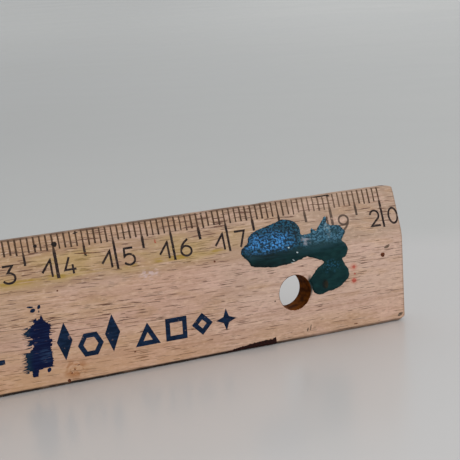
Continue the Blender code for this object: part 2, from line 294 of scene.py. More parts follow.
def stations():
    """Places along the scale, close together at the ends and even between them."""
    insides = [END_ROUNDING * (1 - cos(pi / 2 * step / 4)) for step in range(5)]
    gap = 0.1
    while gap < STATION_PITCH:
        insides.append(insides[-1] + gap)
        gap *= 1.25
    left = [LEFT_END + inside for inside in insides]
    right = [RIGHT_END - inside for inside in reversed(insides)]
    count = round((right[0] - left[-1]) / STATION_PITCH)
    return left + [left[-1] + (right[0] - left[-1]) * step / count for step in range(1, count)] + right


def wood_mesh():
    """The worn body without its hole."""
    loop = section()
    bm = bmesh.new()
    rings = [[bm.verts.new(settle(x, *point)) for point in loop] for x in stations()]
    for here, there in zip(rings, rings[1:]):
        for k in range(len(loop)):
            after = (k + 1) % len(loop)
            bm.faces.new((here[k], here[after], there[after], there[k]))
    bm.faces.new(rings[0])
    bm.faces.new(rings[-1])
    return mesh_from(bm, "wood")


def hole_cutter():
    """A turned solid: a straight bore that flares a little at both rims."""
    half = (BACK - FRONT) / 2
    outside = -half - 1.0
    profile = [(0.0, outside), (HOLE_RADIUS + 1.0, outside), (HOLE_RADIUS + HOLE_FLARE, -half)]
    for step in range(1, 5):
        angle = step * pi / 8
        profile.append((HOLE_RADIUS + HOLE_FLARE * (1 - sin(angle)),
                        -half + HOLE_FLARE * (1 - cos(angle))))
    profile += [(radius, -depth) for radius, depth in reversed(profile)]
    bm = bmesh.new()
    corners = [bm.verts.new((radius * MM, 0, depth * MM)) for radius, depth in profile]
    lines = [bm.edges.new(pair) for pair in zip(corners, corners[1:])]
    bmesh.ops.spin(bm, geom=corners + lines, axis=(0, 0, 1), cent=(0, 0, 0), steps=96, angle=2 * pi,
                   use_merge=True, use_duplicate=False)
    bmesh.ops.remove_doubles(bm, verts=bm.verts[:], dist=0.001 * MM)
    turned = Matrix.Translation((SCALE_ZERO + HOLE_X * MM, (FRONT + half) * MM, HOLE_Z * MM))
    bmesh.ops.transform(bm, verts=bm.verts[:], matrix=turned @ Matrix.Rotation(pi / 2, 4, "X"))
    return mesh_from(bm, "hole_cutter")


def bored_mesh():
    """The body with the hanging hole cut through it."""
    body = add_object("cut", wood_mesh())
    cutter = add_object("hole_cutter", hole_cutter())
    bore = body.modifiers.new("bore", "BOOLEAN")
    bore.operation = "DIFFERENCE"
    bore.solver = "EXACT"
    bore.object = cutter
    graph = bpy.context.evaluated_depsgraph_get()
    mesh = bpy.data.meshes.new_from_object(body.evaluated_get(graph))
    for thing in (body, cutter):
        bpy.data.objects.remove(thing, do_unlink=True)
    mesh.materials.clear()
    return mesh


def build_wood(material, bore_material):
    mesh = bored_mesh()
    new_piece("wood_body", mesh, material, ["beech_blank"], sharp=40)
    mesh.materials.append(bore_material)
    axis = Vector((SCALE_ZERO + HOLE_X * MM, 0, HOLE_Z * MM))
    for face in mesh.polygons:
        away = face.center - axis
        if hypot(away.x, away.z) < (HOLE_RADIUS + 0.1) * MM and abs(face.normal.y) < 0.99:
            face.material_index = 1


# Ink lines


def along(points, pitch):
    """A line's points at an even pitch, corners kept."""
    dense = []
    for here, there in zip(points, points[1:]):
        here, there = Vector(here), Vector(there)
        count = max(1, ceil((there - here).length / pitch))
        dense += [here.lerp(there, step / count) for step in range(count)]
    return dense + [Vector(points[-1])]


def sideways(points, index, closed):
    """The unit vector across the line at a point, longer at a corner, as a mitre is."""
    count = len(points)
    before = points[index - 1] if index > 0 or closed else points[index]
    after = points[(index + 1) % count] if index < count - 1 or closed else points[index]
    sides = ((before, points[index]), (points[index], after))
    steps = [(b - a).normalized() for a, b in sides if (b - a).length]
    normals = [Vector((-step.y, step.x)) for step in steps]
    mitre = sum(normals, Vector((0, 0))).normalized()
    return mitre / max(0.5, mitre.dot(normals[0]))


def add_ribbon(bm, points, width, seed, closed=False, rough=0.12, lift=INK_LIFT, fade=None, strength=1.0):
    """An inked line as a closed strip with a wavering width, on the front's surface."""
    rows = []
    for index, point in enumerate(points):
        across = sideways(points, index, closed)
        half = width(index / max(1, len(points) - 1)) / 2 if callable(width) else width / 2
        left = point + across * half * (1 + rough * wander(seed, index * 0.9, 1.7))
        right = point - across * half * (1 + rough * wander(seed + 3, index * 0.9, 1.7))
        rows.append([bm.verts.new(place(*left, lift)), bm.verts.new(place(*right, lift)),
                     bm.verts.new(place(*right, SUNK)), bm.verts.new(place(*left, SUNK))])
    if fade is not None:
        for row in rows:
            for vertex in row:
                vertex[fade] = strength
    pairs = list(zip(rows, rows[1:] + rows[:1])) if closed else list(zip(rows, rows[1:]))
    for here, there in pairs:
        for k in range(4):
            bm.faces.new((here[k], here[(k + 1) % 4], there[(k + 1) % 4], there[k]))
    if not closed:
        bm.faces.new(rows[0])
        bm.faces.new(rows[-1])


def build_graduations(material):
    """One inked line for each millimetre, bolder below the millimetre lines on the longer ones."""
    bm = bmesh.new()
    fade = bm.verts.layers.float.new("ink")
    chance = random.Random(4)
    for millimetre in range(201):
        reach = CM_LINE if millimetre % 10 == 0 else HALF_LINE if millimetre % 5 == 0 else MM_LINE
        reach += chance.uniform(-0.12, 0.12)
        slant = chance.uniform(-0.03, 0.03)
        thickness = chance.uniform(0.85, 1.2)
        steps = max(8, round(reach / 0.28))
        points = [Vector((millimetre + slant * step / steps, TOP - 0.05 - (reach - 0.05) * step / steps))
                  for step in range(steps + 1)]

        def width(share, reach=reach, thickness=thickness):
            down = share * reach
            bold = smooth_step(MM_LINE - 0.25, MM_LINE + 0.1, down) if reach > MM_LINE + 0.5 else 0.0
            return (FINE_WIDTH + (BOLD_WIDTH - FINE_WIDTH) * bold) * thickness

        strength = chance.uniform(0.45, 1.0)
        add_ribbon(bm, points, width, millimetre, rough=0.22, fade=fade, strength=strength)
    mesh = mesh_from(bm, "graduation_lines")
    new_piece("graduation_lines", mesh, material, ["scale_graduations"])


# The numerals


def arc(centre, radii, start, stop, step=14):
    count = max(3, round(abs(stop - start) / step))
    angles = [radians(start + (stop - start) * k / count) for k in range(count + 1)]
    return [(centre[0] + radii[0] * cos(a), centre[1] + radii[1] * sin(a)) for a in angles]


# The pen lines of the digits 0 to 9 in a box of one by one: each with whether it is closed.
DIGITS = [
    [(arc((0.47, 0.5), (0.47, 0.5), 0, 350), True)],
    [([(0.0, 0.3), (0.85, 1.0), (0.85, 0.0)], False)],
    [(arc((0.5, 0.68), (0.46, 0.32), 170, -35) + [(0.0, 0.0), (1.0, 0.0)], False)],
    [([(0.02, 1.0), (0.9, 1.0), (0.4, 0.6)] + arc((0.45, 0.3), (0.55, 0.3), 75, -155), False)],
    [([(0.5, 1.0), (0.0, 0.27), (1.0, 0.27)], False), ([(0.72, 0.55), (0.72, 0.0)], False)],
    [([(0.95, 1.0), (0.15, 1.0), (0.08, 0.52)] + arc((0.48, 0.32), (0.52, 0.32), 115, -150), False)],
    [(arc((0.5, 0.3), (0.5, 0.3), 0, 350), True),
     ([(0.78, 1.0), (0.4, 0.82), (0.13, 0.6), (0.02, 0.38)], False)],
    [([(0.0, 1.0), (1.0, 1.0), (0.4, 0.0)], False)],
    [(arc((0.5, 0.28), (0.5, 0.28), 0, 350), True), (arc((0.5, 0.78), (0.4, 0.23), 0, 350), True)],
    [(arc((0.5, 0.7), (0.5, 0.3), 0, 350), True),
     ([(0.22, 0.0), (0.6, 0.18), (0.87, 0.4), (0.98, 0.62)], False)]]


def add_digit(bm, digit, x, seed, fade, strength):
    for order, (line, closed) in enumerate(DIGITS[digit]):
        points = [Vector((x + px * DIGIT_WIDTH, TOP - DIGIT_DROP + py * DIGIT_HEIGHT)) for px, py in line]
        points = along(points + points[:1] if closed else points, 0.22)
        if closed:
            points = points[:-1]
        lift = INK_LIFT + 0.003 * order
        add_ribbon(bm, points, DIGIT_STROKE, seed + order, closed, 0.13, lift, fade, strength)


def build_numerals(material):
    chance = random.Random(11)
    for number in range(1, 21):
        bm = bmesh.new()
        fade = bm.verts.layers.float.new("ink")
        strength = chance.uniform(0.7, 1.0)
        nodes = [f"numeral_{number:02d}_units"]
        add_digit(bm, number % 10, number * 10 + RIGHT_DIGIT, number * 7, fade, strength)
        if number >= 10:
            nodes.append(f"numeral_{number:02d}_tens")
            add_digit(bm, number // 10, number * 10 + LEFT_DIGIT, number * 7 + 4, fade, strength)
        new_piece(f"number_{number:02d}", mesh_from(bm, "number"), material, nodes)


# Flat printed shapes


def plate_mesh(name, loops, lift, waver=0.015, seed=1, pitch=0.2):
    """A printed shape from its outlines, with slightly uneven edges."""
    bm = bmesh.new()
    for loop in loops:
        points = along(list(loop) + [loop[0]], pitch)[:-1]
        corners = []
        for index, point in enumerate(points):
            point = point + sideways(points, index, True) * waver * wander(seed, index, 2.3)
            corners.append(bm.verts.new((point.x, point.y, 0)))
        for here, there in zip(corners, corners[1:] + corners[:1]):
            bm.edges.new((here, there))
    bmesh.ops.triangle_fill(bm, use_beauty=True, use_dissolve=False, edges=bm.edges[:])
    raised = bmesh.ops.extrude_face_region(bm, geom=bm.faces[:])
    for item in raised["geom"]:
        if isinstance(item, bmesh.types.BMVert):
            item.co.z = 1
    for vertex in bm.verts:
        vertex.co = place(vertex.co.x, vertex.co.y, lift if vertex.co.z > 0.5 else SUNK)
    return mesh_from(bm, name)


def regular(sides, turn, radius, centre_up):
    angles = [radians(turn) + 2 * pi * side / sides for side in range(sides)]
    return [Vector((radius * cos(a), centre_up + radius * sin(a))) for a in angles]


def ring_loops(sides, turn):
    """A ring that stands on the row's base line and is as high as the row."""
    heights = [sin(radians(turn) + 2 * pi * side / sides) for side in range(sides)]
    radius = ROW_SIZE / (max(heights) - min(heights))
    centre = -min(heights) * radius
    inner = radius - ROW_STROKE / cos(pi / sides)
    return [regular(sides, turn, radius, centre), regular(sides, turn, inner, centre)]


def star_loops():
    middle = ROW_SIZE / 2
    radii = (middle, middle * STAR_WAIST)
    corners = [(radii[k % 2], k * pi / 4) for k in range(8)]
    return [[Vector((radius * sin(a), middle + radius * cos(a))) for radius, a in corners]]


def lozenge_loops():
    side = LOZENGE_WIDTH / 2
    half = LOZENGE_HEIGHT / 2
    return [[Vector((0, 0)), Vector((side, half)), Vector((0, 2 * half)), Vector((-side, half))]]


def build_ornaments(material):
    shapes = {"star": star_loops(), "diamond": ring_loops(4, 0), "square": ring_loops(4, 45),
              "triangle": ring_loops(3, 90), "hexagon": ring_loops(6, 0), "lozenge": lozenge_loops()}
    row = [(98.0, "star"), (102.7, "diamond"), (107.4, "square"), (112.5, "triangle"), (117.0, "lozenge"),
           (120.8, "hexagon"), (125.1, "lozenge"), (139.9, "lozenge"), (144.2, "hexagon"), (148.0, "lozenge"),
           (154.0, "triangle"), (159.1, "square"), (163.8, "diamond"), (168.2, "star")]
    for number, (x, shape) in enumerate(row, start=1):
        loops = [[Vector((x, ROW_BASE)) + point for point in loop] for loop in shapes[shape]]
        mesh = plate_mesh("ornament", loops, INK_LIFT, seed=number * 3)
        name = f"{number:02d}_{shape}"
        new_piece("print_" + name, mesh, material, ["ornament_" + name])
    dash = [[Vector(corner) for corner in ((128.0, 5.1), (130.0, 5.1), (130.0, 5.9), (128.0, 5.9))]]
    mesh = plate_mesh("dash", dash, INK_LIFT, seed=50)
    new_piece("print_dash", mesh, material, ["ornament_dash"])


# Spills and smears


def smooth_loop(points, steps=6):
    """A closed curve through the points, with a number of steps between each two."""
    count = len(points)
    curve = []
    for k in range(count):
        before, here, there, after = (Vector(points[(k + shift) % count]) for shift in (-1, 0, 1, 2))
        for step in range(steps):
            t = step / steps
            bend = (2 * before - 5 * here + 4 * there - after) * t ** 2
            bend += (3 * here - before - 3 * there + after) * t ** 3
            curve.append((2 * here + (there - before) * t + bend) / 2)
    return curve


def distances(points, rim):
    """How far each point is from the nearest point of the rim."""
    return np.sqrt(((points[:, None, :] - rim[None, :, :]) ** 2).sum(2)).min(1)


def are_inside(points, rim):
    """Which points lie inside a closed outline: a ray to the right crosses it an odd number of times."""
    x, y = points[:, :1], points[:, 1:]
    next_rim = np.roll(rim, -1, 0)
    rise = next_rim[:, 1] - rim[:, 1]
    crosses = (rim[:, 1] > y) != (next_rim[:, 1] > y)
    at = rim[:, 0] + (y - rim[:, 1]) / np.where(rise == 0, 1e-9, rise) * (next_rim[:, 0] - rim[:, 0])
    return (crosses & (x < at)).sum(1) % 2 == 1


def film_mesh(name, outline, pitch, lift_at):
    """A closed film inside an outline; lift_at(x, up, distance from the rim) is how proud it stands."""
    rim = np.array([tuple(point) for point in outline])
    low, high = rim.min(0), rim.max(0)
    rows = np.arange(low[1], high[1], pitch * 0.87)
    grid = np.array([(x + (row % 2) * pitch / 2, up) for row, up in enumerate(rows)
                     for x in np.arange(low[0], high[0], pitch)])
    grid = grid[distances(grid, rim) > pitch * 0.6]
    grid = grid[are_inside(grid, rim)]
    points = np.concatenate([rim, grid])
    away = np.concatenate([np.zeros(len(rim)), distances(grid, rim)])
    edges = [(k, (k + 1) % len(rim)) for k in range(len(rim))]
    flat = [Vector(point) for point in points]
    verts, _, faces, origins, _, _ = geometry.delaunay_2d_cdt(flat, edges, [], 1, 1e-6)
    bm = bmesh.new()
    top = []
    bottom = []
    for point, origin in zip(verts, origins):
        lift = lift_at(point.x, point.y, away[origin[0]] if origin else 0.0)
        top.append(bm.verts.new(place(point.x, point.y, lift)))
        bottom.append(bm.verts.new(place(point.x, point.y, SUNK)))
    for face in faces:
        bm.faces.new([top[k] for k in face])
        bm.faces.new([bottom[k] for k in reversed(face)])
    pairs = {v: w for v, w in zip(top, bottom)}
    for edge in [edge for edge in bm.edges if len(edge.link_faces) == 1 and edge.verts[0] in pairs]:
        here, there = edge.verts
        bm.faces.new((here, there, pairs[there], pairs[here]))
    return mesh_from(bm, name)


PAINT_OUTLINE = [
    (171.8, 16.8), (172.4, 17.5), (173.3, 18.1), (173.6, 19.0), (174.8, 19.8), (176.1, 20.2),
    (177.5, 20.5), (179.2, 20.9), (180.5, 21.2), (182.0, 20.9), (182.9, 20.4), (183.5, 19.3),
    (183.5, 18.2), (185.2, 18.2), (185.7, 19.0), (186.5, 18.5), (187.7, 19.7), (188.8, 20.7),
    (188.9, 19.4), (189.6, 19.0), (191.0, 18.8), (191.8, 18.0), (192.0, 17.4), (191.1, 16.2),
    (191.7, 15.5), (192.1, 14.5), (191.6, 13.3), (190.9, 12.9), (191.5, 11.8), (192.1, 10.6),
    (192.0, 9.5), (191.0, 8.6), (189.5, 7.8), (187.7, 7.6), (186.6, 7.3), (185.2, 7.7),
    (184.8, 8.7), (184.7, 9.4), (184.3, 10.0), (184.9, 10.8), (185.8, 11.8), (187.1, 12.7),
    (187.1, 13.1), (185.9, 13.6), (184.8, 14.0), (184.0, 14.3), (182.4, 13.9), (180.3, 13.5),
    (177.9, 13.4), (175.5, 13.7), (173.6, 14.1), (172.8, 15.2), (172.0, 16.0)]
PAINT_PIT = (187.2, 9.0)
PAINT_BODY = 0.2
PAINT_RIM = 0.45


def paint_lift(x, up, away):
    """The paint swells from its rim, is lumpy where it dried on the bevel and smooth below it."""
    rounded = sqrt(1 - (1 - min(1.0, away / PAINT_RIM)) ** 2)
    on_bevel = smooth_step(CREASE + 0.2, CREASE + 1.4, up)
    coarse = noise.noise(Vector((x / 0.42, up / 0.34, 3.0)))
    fine = noise.noise(Vector((x / 0.2, up / 0.18, 9.0)))
    lumps = coarse * 0.75 + fine * 0.3
    ripples = noise.noise(Vector((x / 2.6, up / 1.4, 5.0)))
    right = smooth_step(183.0, 185.0, x)
    lift = 0.03 + PAINT_BODY * rounded * (0.8 + 0.25 * ripples)
    lift += 0.085 * lumps * on_bevel * rounded * (1 - 0.55 * right)
    pit = exp(-(((x - PAINT_PIT[0]) / 0.22) ** 2 + ((up - PAINT_PIT[1]) / 0.42) ** 2))
    return max(0.02, lift * (1 - 0.95 * pit))


def build_paint(material):
    outline = []
    for index, point in enumerate(along(smooth_loop(PAINT_OUTLINE, 5), 0.14)[:-1]):
        outline.append(point + Vector((wander(61, index, 4.1), wander(67, index, 4.1))) * 0.11)
    mesh = film_mesh("paint", outline, 0.15, paint_lift)
    new_piece("dried_paint", mesh, material, ["paint_spill"], sharp=80)


# The smear: how long its streaks are on the right against the left, and the height at its top and
# bottom over which they die away.
RIGHT_SHARE = 0.55
CALM_END = 0.9
SMEAR_LEFT = [
    (134.3, 2.2), (134.2, 3.1), (133.7, 3.7), (133.7, 4.4), (133.5, 5.2), (133.4, 6.0),
    (134.7, 6.6), (134.8, 7.2), (134.3, 7.9), (134.8, 8.4), (133.8, 9.2), (134.0, 9.7),
    (134.7, 10.4), (135.5, 11.1), (136.1, 11.4), (136.3, 12.0)]
SMEAR_RIGHT = [
    (135.2, 2.2), (135.3, 2.9), (135.4, 3.3), (137.5, 3.4), (137.8, 4.3), (137.7, 5.8),
    (137.5, 6.9), (137.6, 7.3), (137.5, 8.4), (137.6, 9.6), (137.7, 10.2), (137.1, 10.7),
    (136.7, 11.3), (136.5, 12.0)]


def brushed_outline(left, right, pitch, streaks, seed):
    """An outline whose two sides are ragged with streaks; left and right give x for each height."""
    chance = random.Random(seed)
    low, high = left[0][1], left[-1][1]
    rows = round((high - low) / pitch)

    def side(line, up):
        return float(np.interp(up, [point[1] for point in line], [point[0] for point in line]))

    edges = ([], [])
    for row in range(rows):
        bottom = low + (high - low) * row / rows
        top = low + (high - low) * (row + 1) / rows
        for points, line, way in ((edges[0], left, -1), (edges[1], right, 1)):
            middle = (bottom + top) / 2
            reach = min(streaks, chance.expovariate(3.0 / streaks)) * (1.0 if way < 0 else RIGHT_SHARE)
            reach = reach * min(1.0, (middle - low) / CALM_END, (high - middle) / CALM_END) - 0.1
            at = side(line, middle) + way * reach
            points += [Vector((at, bottom + 0.01)), Vector((at + way * 0.03, top - 0.01))]
    return edges[1] + edges[0][::-1]


def build_smear(material):
    """Navy ink dragged sideways with a dry brush, and a small splash of it above."""
    smear = [brushed_outline(SMEAR_LEFT, SMEAR_RIGHT, 0.15, 0.75, seed=23),
             blot(137.0, 2.97, 0.36, 0.32, 50, seed=4)]
    splash = [blot(134.75, 13.5, 0.5, 0.14, -8, seed=1), blot(135.15, 12.88, 0.42, 0.32, 20, seed=2),
              blot(136.15, 13.3, 0.28, 0.36, -25, seed=3), blot(136.1, 12.6, 0.09, 0.22, 0, seed=5)]
    for name, loops, node in (("smeared_ink", smear, "ink_smear"), ("splashed_ink", splash, "ink_splash")):
        mesh = plate_mesh(name, loops, SMEAR_LIFT, waver=0.0, pitch=0.6)
        new_piece(name, mesh, material, [node])
    build_bristle_marks(material)


def build_bristle_marks(material):
    """Thin strokes that the brush's hairs left beside the smear."""
    chance = random.Random(31)
    bm = bmesh.new()
    tufts = [(-1, 133.75, 3.0, 6.5, 30), (-1, 134.1, 8.6, 10.3, 15), (-1, 134.5, 6.7, 8.0, 8),
             (1, 137.5, 9.6, 10.8, 8), (1, 137.5, 3.4, 9.2, 7), (-1, 135.6, 10.8, 11.6, 4)]
    for way, start, low, high, count in tufts:
        for _ in range(count):
            up = chance.uniform(low, high)
            reach = chance.uniform(0.5, 1.25) * (1 if way < 0 else RIGHT_SHARE)
            thick = chance.uniform(0.08, 0.2)
            drop = chance.uniform(0.02, 0.16)
            points = [Vector((start + way * reach * step / 6, up - drop * reach * step / 6))
                      for step in range(7)]
            lift = chance.uniform(0.018, 0.028)
            seed = chance.random() * 50
            add_ribbon(bm, points, lambda share, thick=thick: thick * (1.05 - share), seed, lift=lift)
    new_piece("bristle_marks", mesh_from(bm, "bristle_marks"), material)


def build_edge_stain(material):
    """A dark stain that runs along the lower edge and stops short at its right end."""
    upper = [(168.0, 0.35), (170.5, 0.72), (173.0, 0.97), (175.6, 1.07), (176.6, 1.02), (177.3, 1.27)]
    chance = random.Random(8)
    line = along(upper, 0.25)
    ragged = [point + Vector((0, chance.uniform(-0.08, 0.08))) for point in line]
    corners = [Vector((168.0, 0.02)), Vector((177.45, 0.02))] + ragged[::-1]
    outline = along(corners + corners[:1], 0.2)[:-1]
    mesh = film_mesh("stain", outline, 0.22, lambda x, up, away: 0.02 + 0.03 * min(1, away))
    new_piece("stain_on_edge", mesh, material, ["edge_stain"])


# Small marks of use


def blot(x, up, wide, tall, turn, seed):
    """An uneven oval outline: its middle, its half width and half height, and its turn in degrees."""
    loop = []
    for step in range(14):
        angle = 2 * pi * step / 14
        radius = 1 + 0.28 * wander(seed, step, 2.1)
        loop.append((wide * radius * cos(angle), tall * radius * sin(angle)))
    c, s = cos(radians(turn)), sin(radians(turn))
    return [Vector((x + a * c - b * s, up + a * s + b * c)) for a, b in loop]


def build_marks(name, material, spots, lift=MARK_LIFT):
    """Spots of one kind, each an uneven oval: x, height up the front, half width, half height, turn."""
    loops = [blot(*spot, seed=number) for number, spot in enumerate(spots, start=1)]
    new_piece(name, plate_mesh(name, loops, lift, waver=0.0, pitch=0.3), material)


def build_all_marks(black, red, brown, white, pencil):
    build_marks("black_specks", black, [
        (140.25, TOP - 1.77, 0.44, 0.4, 0), (137.15, TOP - 1.62, 0.3, 0.26, 20),
        (144.0, TOP - 0.45, 0.5, 0.1, 8), (188.8, TOP - 0.22, 1.5, 0.16, 1),
        (190.2, TOP - 0.38, 0.35, 0.13, -8), (177.5, 7.5, 0.12, 0.12, 0),
        (152.4, TOP - 1.5, 1.1, 0.05, 2), (71.0, 13.2, 0.16, 0.14, 0),
        (38.5, TOP - 2.2, 0.22, 0.2, 0), (12.6, 9.9, 0.2, 0.17, 30)])
    build_marks("dark_dashes", pencil, [
        (200.05, 13.75, 0.55, 0.24, 20), (183.5, 1.5, 0.12, 0.36, -20), (184.1, 1.75, 0.1, 0.55, -14),
        (202.3, 1.1, 0.5, 0.32, 10), (86.0, 12.4, 0.9, 0.06, 5), (55.4, 3.1, 0.08, 0.5, 12)])
    build_marks("red_specks", red, [
        (193.15, 11.1, 0.3, 0.26, 0), (193.3, 9.84, 0.2, 0.18, 0), (193.1, 8.7, 0.45, 0.38, -10),
        (157.1, TOP - 3.67, 0.14, 0.34, 8), (104.2, 12.9, 0.2, 0.16, 0)])
    build_marks("brown_specks", brown, [
        (199.1, 12.4, 0.4, 0.38, 0), (166.8, TOP - 8.5, 0.17, 0.17, 0),
        (145.2, TOP - 3.9, 2.3, 0.07, -6), (141.9, 2.9, 0.22, 0.07, 12),
        (141.2, 2.3, 0.17, 0.09, -30), (140.7, 1.75, 0.15, 0.08, 20), (140.15, 0.62, 0.26, 0.3, 0),
        (151.6, 3.3, 0.16, 0.12, 0), (139.4, 15.4, 0.14, 0.12, 0), (193.1, 0.95, 0.4, 0.08, 0),
        (62.3, 8.8, 0.2, 0.18, 0), (28.1, 14.9, 0.35, 0.1, 10)])
    build_marks("white_specks", white, [
        (180.6, TOP - 8.2, 0.16, 0.13, 0), (182.1, 15.3, 0.15, 0.12, 0),
        (181.3, 14.1, 0.3, 0.07, -40), (181.0, 13.75, 0.22, 0.06, -20)], lift=ON_PAINT_LIFT)


# Materials


def seen(red, green, blue, light=0.72):
    """A surface colour from how it looks, 0 to 255, where a white one would look as bright as light."""
    shares = (value / 255 for value in (red, green, blue))
    linear = [share / 12.92 if share < 0.04045 else ((share + 0.055) / 1.055) ** 2.4 for share in shares]
    return (*(value / light for value in linear), 1.0)


class Look:
    """Builds one material's nodes. Places are in millimetres: x on the scale, y into the wood, z up."""

    def __init__(self, name):
        self.material = bpy.data.materials.new(name)
        self.material.use_nodes = True
        self.tree = self.material.node_tree
        self.shader = self.tree.nodes["Principled BSDF"]
        self.links = self.tree.links
        here = self.tree.nodes.new("ShaderNodeTexCoord").outputs["Object"]
        self.here = self.mapped(here, (1 / MM,) * 3, (-SCALE_ZERO / MM, 0, 0))
        self.x, self.y, self.z = self.add_many("SeparateXYZ", {"Vector": self.here})
        self.grain = self.here
        self.colour = None

    def plug(self, socket, value):
        if isinstance(value, bpy.types.NodeSocket):
            self.links.new(value, socket)
        else:
            socket.default_value = value

    def add_many(self, kind, inputs, **settings):
        node = self.tree.nodes.new("ShaderNode" + kind)
        for name, value in settings.items():
            setattr(node, name, value)
        for name, value in inputs.items():
            self.plug(node.inputs[name], value)
        return node.outputs

    def add(self, kind, inputs, **settings):
        return self.add_many(kind, inputs, **settings)[0]

    def mapped(self, vector, scale, shift=(0, 0, 0)):
        return self.add("Mapping", {"Vector": vector, "Scale": scale, "Location": shift})

    def noise(self, size, seed, detail=2.0, where=None):
        """Noise about 0.5, whose features have a size of x, y, z millimetres."""
        shift = (seed * 13.1, seed * 7.7, seed * 3.3)
        vector = self.mapped(where or self.here, tuple(1 / side for side in size), shift)
        return self.add("TexNoise", {"Vector": vector, "Scale": 1.0, "Detail": detail})

    def fibres(self, size, seed, detail=2.0):
        """Noise that follows the wood's slightly wavy grain."""
        return self.noise(size, seed, detail, self.grain)

    def span(self, value, low, high, start=0.0, stop=1.0):
        """A number that goes smoothly from start to stop as the value goes from low to high."""
        ends = {"Value": value, "From Min": low, "From Max": high, "To Min": start, "To Max": stop}
        return self.add("MapRange", ends, interpolation_type="SMOOTHSTEP")

    def band(self, value, low, high, soft):
        """One between low and high, and none outside them."""
        above = self.span(value, low - soft, low + soft)
        return self.times(above, self.span(value, high - soft, high + soft, 1.0, 0.0))

    def sum(self, one, other):
        return self.add("Math", {0: one, 1: other}, operation="ADD")

    def less(self, one, other):
        return self.add("Math", {0: one, 1: other}, operation="SUBTRACT")

    def times(self, one, other):
        return self.add("Math", {0: one, 1: other}, operation="MULTIPLY")

    def near(self, x, z, wide, tall):
        """One at a place on the front, easing to none at the rim of an oval round it."""
        stretched = self.mapped(self.here, (1 / wide, 0, 1 / tall), (-x / wide, 0, -z / tall))
        away = self.add_many("VectorMath", {0: stretched}, operation="LENGTH")["Value"]
        return self.times(self.span(away, 1.0, 0.4), self.on_front())

    def on_front(self):
        """One on the front and the bevel, and none on the back."""
        return self.span(self.y, 1.9, 1.3)

    def mix(self, share, under, over):
        return self.add_many("Mix", {0: share, 6: under, 7: over}, data_type="RGBA")[2]

    def lay(self, tone, where, share=None):
        """Lays a tone, 0 to 255 as it looks, over the colour so far: a share of it, where a mask is one."""
        if share is not None:
            where = self.times(where, share)
        self.colour = self.mix(where, self.colour, seen(*tone))

    def shade(self, value, darker, lighter):
        """Lays a darker tone where a value is low, and a lighter one where it is high.

        Each is given as the level where it starts, the one where it is full, its share and itself.
        """
        for start, full, share, tone in (darker, lighter):
            self.lay(tone, self.span(value, start, full, 0.0, share))

    def finish(self, colour, roughness, height=None, depth=0.02, specular=0.12):
        """Plugs the colour, the roughness and a height of so many millimetres into the shader."""
        self.plug(self.shader.inputs["Base Color"], colour)
        self.plug(self.shader.inputs["Roughness"], roughness)
        if height is not None:
            bump = {"Height": height, "Distance": depth * MM, "Strength": 1.0}
            self.plug(self.shader.inputs["Normal"], self.add("Bump", bump))
        self.plug(self.shader.inputs["Specular IOR Level"], specular)
        return self.material


def wood_layers(look):
    """Lays the colour of the worn beech, with the bevel partly darkened by painted shade, and returns its
    flecks and its threads.
    """
    wave = look.noise((45, 30, 25), seed=1, detail=1.0)
    rise = look.sum(look.times(look.x, 0.028), look.times(wave, 1.6))
    look.grain = look.add("CombineXYZ", {"X": look.x, "Y": look.y, "Z": look.sum(look.z, rise)})

    tint = look.span(look.noise((38, 9, 5), seed=2), 0.38, 0.66)
    look.colour = look.mix(tint, seen(186, 150, 131), seen(183, 149, 120))
    pale = look.times(look.span(look.x, 158, 178), look.span(look.z, 2.0, 9.0, 0.3, 0.85))
    look.lay((192, 163, 147), pale)
    # The bevel is laid darker, more so to the left: partly dirt and partly painted shade.
    on_bevel = look.times(look.span(look.z, 14.8, 16.4), look.on_front())
    bevel = look.mix(look.span(look.x, 150, 192), seen(153, 120, 90), seen(158, 132, 111))
    look.colour = look.mix(look.times(on_bevel, 0.85), look.colour, bevel)
    look.lay((178, 142, 110), look.span(look.z, 4.5, 0.5), 0.5)

    bands = look.fibres((70, 12, 1.7), seed=3, detail=3.0)
    look.shade(bands, (0.46, 0.30, 0.45, (160, 123, 102)), (0.54, 0.72, 0.45, (200, 169, 150)))
    clouds = look.fibres((6.5, 5, 2.0), seed=8, detail=3.0)
    look.shade(clouds, (0.48, 0.30, 0.45, (172, 136, 103)), (0.54, 0.72, 0.4, (203, 168, 154)))
    threads = look.fibres((6, 1.0, 0.2), seed=4, detail=4.0)
    look.shade(threads, (0.48, 0.28, 0.5, (146, 110, 89)), (0.52, 0.74, 0.5, (212, 182, 163)))

    rays = look.fibres((3.0, 3.2, 0.15), seed=5, detail=0.0)
    where_rays = look.fibres((14, 8, 4), seed=6, detail=1.0)
    cut = look.span(where_rays, 0.35, 0.65, 0.76, 0.675)
    cut = look.sum(cut, look.times(look.span(look.z, 20.5, 22.0), -0.04))
    cut = look.sum(cut, look.span(look.x, 150.0, 185.0, -0.035, 0.0))
    flecks = look.span(look.less(rays, cut), 0.0, 0.03)
    look.lay((90, 57, 43), flecks, 0.92)
    fine = look.fibres((1.2, 0.8, 0.09), seed=7, detail=0.0)
    look.lay((112, 78, 61), look.span(fine, 0.72, 0.80, 0.0, 0.45))

    mottles = look.fibres((1.0, 0.7, 0.35), seed=9, detail=3.0)
    look.shade(mottles, (0.48, 0.30, 0.35, (150, 114, 92)), (0.54, 0.72, 0.35, (214, 184, 160)))

    from_middle = look.add("Math", {0: look.sum(look.x, -100.0)}, operation="ABSOLUTE")
    look.lay((118, 88, 68), look.span(from_middle, 102.85, 103.15), 0.55)
    return flecks, threads


